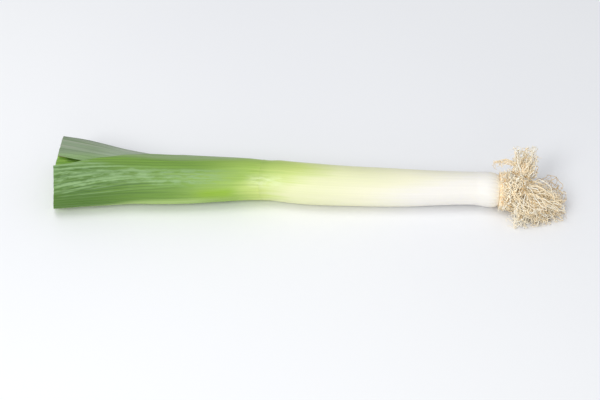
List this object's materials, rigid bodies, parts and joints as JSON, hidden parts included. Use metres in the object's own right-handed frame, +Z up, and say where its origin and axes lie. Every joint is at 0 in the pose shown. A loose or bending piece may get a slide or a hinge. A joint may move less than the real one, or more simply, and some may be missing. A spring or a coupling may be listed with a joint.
{
  "type": "leek",
  "caption": "Fresh leek lying on its side: white stalk shading to folded green leaves cut straight across, with a straw-coloured root mop at the other end.",
  "frame": {"origin": "centre of the part's box in plan, on the surface that the leek lies on", "axes": "+X along the leek towards the roots, +Y towards the side on which the grey-green leaf opens, +Z up"},
  "size_m": [0.3566, 0.062, 0.0309],
  "materials": {
    "stalk": "smooth, slightly waxy, white at the foot and yellow-green at the collar",
    "green_leaf": "waxy green with a pale bloom and fine veins along it",
    "grey_green_leaf": "matt grey-green bloom with fine veins along it",
    "young_leaf": "smooth yellow-green",
    "roots": "dry, straw-coloured strands"
  },
  "bodies": {
    "root": {"shaft": "stalk", "leaf_front_outer": "green_leaf", "leaf_back_outer": "grey_green_leaf", "leaf_front_inner": "young_leaf", "leaf_back_inner": "young_leaf", "leaf_heart": "young_leaf", "roots": "roots"}
  },
  "joints": []
}
